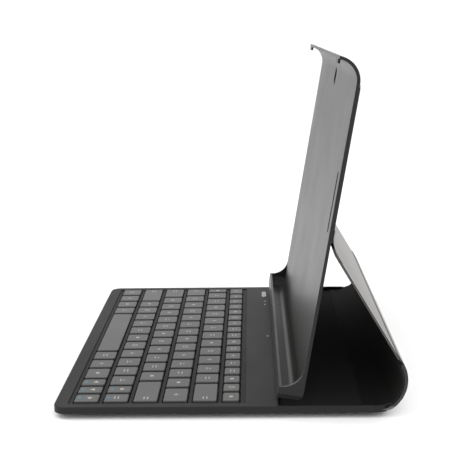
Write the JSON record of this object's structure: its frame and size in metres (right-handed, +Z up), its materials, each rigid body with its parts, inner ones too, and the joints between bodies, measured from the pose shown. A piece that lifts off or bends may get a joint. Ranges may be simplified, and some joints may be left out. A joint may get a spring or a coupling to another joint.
{
  "type": "tablet keyboard case",
  "caption": "Folding tablet case: a thin keyboard base, a soft spine, a creased back panel and a leaning tray that holds the tablet.",
  "frame": {"origin": "bottom centre of the standing case's bounding box", "axes": "+X to the typist's right, +Y away from the typist, +Z up"},
  "size_m": [0.248, 0.191, 0.1921],
  "materials": {
    "black_plastic": "fine matte",
    "key_plastic": "fine matte",
    "tray_plastic": "satin",
    "leatherette": "fine grain",
    "lining": "short nap",
    "steel": "plain",
    "rubber": "matte",
    "clear_film": "clear",
    "board": "satin",
    "cell": "satin",
    "board_core": "matte"
  },
  "bodies": {
    "keyboard_base": {"bottom_cover": "black_plastic", "front_deck": "black_plastic", "key_grid": "black_plastic", "rear_platform": "lining", "rear_rim": "black_plastic", "magnet_rail": "steel", "hinge_strip": "leatherette", "rubber_feet": "rubber", "case_screws": "steel", "keyboard_plate": "steel", "membrane": "clear_film", "dome_sheet": "rubber", "circuit_board": "board", "battery_cells": "cell", "charge_socket": "steel", "tact_switch": "steel", "status_leds": "clear_film", "base_magnets": "steel"},
    "power_button_body": {"power_button": "key_plastic"},
    "spine_body": {"spine": "leatherette"},
    "stand_panel": {"panel_skin": "leatherette", "panel_board": "board_core", "panel_lining": "lining"},
    "tablet_tray": {"tray_shell": "tray_plastic", "tray_cover": "leatherette"},
    "control_key_body": {"control_key": "key_plastic"},
    "accented_key_body": {"accented_key": "key_plastic"},
    "option_key_body": {"option_key": "key_plastic"},
    "command_key_body": {"command_key": "key_plastic"},
    "space_bar_body": {"space_bar": "key_plastic"},
    "right_command_key_body": {"right_command_key": "key_plastic"},
    "right_option_key_body": {"right_option_key": "key_plastic"},
    "menu_key_body": {"menu_key": "key_plastic"},
    "left_arrow_key_body": {"left_arrow_key": "key_plastic"},
    "down_arrow_key_body": {"down_arrow_key": "key_plastic"},
    "right_arrow_key_body": {"right_arrow_key": "key_plastic"},
    "left_shift_key_body": {"left_shift_key": "key_plastic"},
    "lower_letter_keys_body": {"lower_letter_keys": "key_plastic"},
    "right_shift_key_body": {"right_shift_key": "key_plastic"},
    "up_arrow_key_body": {"up_arrow_key": "key_plastic"},
    "corner_key_body": {"corner_key": "key_plastic"},
    "caps_lock_key_body": {"caps_lock_key": "key_plastic"},
    "home_letter_keys_body": {"home_letter_keys": "key_plastic"},
    "enter_key_body": {"enter_key": "key_plastic"},
    "tab_key_body": {"tab_key": "key_plastic"},
    "upper_letter_keys_body": {"upper_letter_keys": "key_plastic"},
    "backslash_key_body": {"backslash_key": "key_plastic"},
    "narrow_key_body": {"narrow_key": "key_plastic"},
    "number_keys_body": {"number_keys": "key_plastic"},
    "backspace_key_body": {"backspace_key": "key_plastic"},
    "escape_key_body": {"escape_key": "key_plastic"},
    "media_keys_body": {"media_keys": "key_plastic"},
    "lock_key_body": {"lock_key": "key_plastic"}
  },
  "joints": [
    {"name": "spine_hinge", "type": "hinge", "parent": "keyboard_base", "child": "spine_body", "pos_m": [0, 0.0872, 0.0054], "axis": [-1, 0, 0], "range_deg": [0, 60]},
    {"name": "panel_hinge", "type": "hinge", "parent": "spine_body", "child": "stand_panel", "pos_m": [0, 0.09249, 0.031], "axis": [-1, 0, 0], "range_deg": [0, 20]},
    {"name": "tray_hinge", "type": "hinge", "parent": "stand_panel", "child": "tablet_tray", "pos_m": [0, 0.05533, 0.09369], "axis": [1, 0, 0], "range_deg": [0, 28]},
    {"name": "power_button_press", "type": "slide", "parent": "keyboard_base", "child": "power_button_body", "axis": [0, 0, -1], "range_m": [0, 0.0003], "stiffness_N_per_m": 1500},
    {"name": "control_key_press", "type": "slide", "parent": "keyboard_base", "child": "control_key_body", "axis": [0, 0, -1], "range_m": [0, 0.0013], "stiffness_N_per_m": 300},
    {"name": "accented_key_press", "type": "slide", "parent": "keyboard_base", "child": "accented_key_body", "axis": [0, 0, -1], "range_m": [0, 0.0013], "stiffness_N_per_m": 300},
    {"name": "option_key_press", "type": "slide", "parent": "keyboard_base", "child": "option_key_body", "axis": [0, 0, -1], "range_m": [0, 0.0013], "stiffness_N_per_m": 300},
    {"name": "command_key_press", "type": "slide", "parent": "keyboard_base", "child": "command_key_body", "axis": [0, 0, -1], "range_m": [0, 0.0013], "stiffness_N_per_m": 300},
    {"name": "space_bar_press", "type": "slide", "parent": "keyboard_base", "child": "space_bar_body", "axis": [0, 0, -1], "range_m": [0, 0.0013], "stiffness_N_per_m": 300},
    {"name": "right_command_key_press", "type": "slide", "parent": "keyboard_base", "child": "right_command_key_body", "axis": [0, 0, -1], "range_m": [0, 0.0013], "stiffness_N_per_m": 300},
    {"name": "right_option_key_press", "type": "slide", "parent": "keyboard_base", "child": "right_option_key_body", "axis": [0, 0, -1], "range_m": [0, 0.0013], "stiffness_N_per_m": 300},
    {"name": "menu_key_press", "type": "slide", "parent": "keyboard_base", "child": "menu_key_body", "axis": [0, 0, -1], "range_m": [0, 0.0013], "stiffness_N_per_m": 300},
    {"name": "left_arrow_key_press", "type": "slide", "parent": "keyboard_base", "child": "left_arrow_key_body", "axis": [0, 0, -1], "range_m": [0, 0.0013], "stiffness_N_per_m": 300},
    {"name": "down_arrow_key_press", "type": "slide", "parent": "keyboard_base", "child": "down_arrow_key_body", "axis": [0, 0, -1], "range_m": [0, 0.0013], "stiffness_N_per_m": 300},
    {"name": "right_arrow_key_press", "type": "slide", "parent": "keyboard_base", "child": "right_arrow_key_body", "axis": [0, 0, -1], "range_m": [0, 0.0013], "stiffness_N_per_m": 300},
    {"name": "left_shift_key_press", "type": "slide", "parent": "keyboard_base", "child": "left_shift_key_body", "axis": [0, 0, -1], "range_m": [0, 0.0013], "stiffness_N_per_m": 300},
    {"name": "lower_letter_keys_press", "type": "slide", "parent": "keyboard_base", "child": "lower_letter_keys_body", "axis": [0, 0, -1], "range_m": [0, 0.0013], "stiffness_N_per_m": 300},
    {"name": "right_shift_key_press", "type": "slide", "parent": "keyboard_base", "child": "right_shift_key_body", "axis": [0, 0, -1], "range_m": [0, 0.0013], "stiffness_N_per_m": 300},
    {"name": "up_arrow_key_press", "type": "slide", "parent": "keyboard_base", "child": "up_arrow_key_body", "axis": [0, 0, -1], "range_m": [0, 0.0013], "stiffness_N_per_m": 300},
    {"name": "corner_key_press", "type": "slide", "parent": "keyboard_base", "child": "corner_key_body", "axis": [0, 0, -1], "range_m": [0, 0.0013], "stiffness_N_per_m": 300},
    {"name": "caps_lock_key_press", "type": "slide", "parent": "keyboard_base", "child": "caps_lock_key_body", "axis": [0, 0, -1], "range_m": [0, 0.0013], "stiffness_N_per_m": 300},
    {"name": "home_letter_keys_press", "type": "slide", "parent": "keyboard_base", "child": "home_letter_keys_body", "axis": [0, 0, -1], "range_m": [0, 0.0013], "stiffness_N_per_m": 300},
    {"name": "enter_key_press", "type": "slide", "parent": "keyboard_base", "child": "enter_key_body", "axis": [0, 0, -1], "range_m": [0, 0.0013], "stiffness_N_per_m": 300},
    {"name": "tab_key_press", "type": "slide", "parent": "keyboard_base", "child": "tab_key_body", "axis": [0, 0, -1], "range_m": [0, 0.0013], "stiffness_N_per_m": 300},
    {"name": "upper_letter_keys_press", "type": "slide", "parent": "keyboard_base", "child": "upper_letter_keys_body", "axis": [0, 0, -1], "range_m": [0, 0.0013], "stiffness_N_per_m": 300},
    {"name": "backslash_key_press", "type": "slide", "parent": "keyboard_base", "child": "backslash_key_body", "axis": [0, 0, -1], "range_m": [0, 0.0013], "stiffness_N_per_m": 300},
    {"name": "narrow_key_press", "type": "slide", "parent": "keyboard_base", "child": "narrow_key_body", "axis": [0, 0, -1], "range_m": [0, 0.0013], "stiffness_N_per_m": 300},
    {"name": "number_keys_press", "type": "slide", "parent": "keyboard_base", "child": "number_keys_body", "axis": [0, 0, -1], "range_m": [0, 0.0013], "stiffness_N_per_m": 300},
    {"name": "backspace_key_press", "type": "slide", "parent": "keyboard_base", "child": "backspace_key_body", "axis": [0, 0, -1], "range_m": [0, 0.0013], "stiffness_N_per_m": 300},
    {"name": "escape_key_press", "type": "slide", "parent": "keyboard_base", "child": "escape_key_body", "axis": [0, 0, -1], "range_m": [0, 0.0013], "stiffness_N_per_m": 300},
    {"name": "media_keys_press", "type": "slide", "parent": "keyboard_base", "child": "media_keys_body", "axis": [0, 0, -1], "range_m": [0, 0.0013], "stiffness_N_per_m": 300},
    {"name": "lock_key_press", "type": "slide", "parent": "keyboard_base", "child": "lock_key_body", "axis": [0, 0, -1], "range_m": [0, 0.0013], "stiffness_N_per_m": 300}
  ]
}
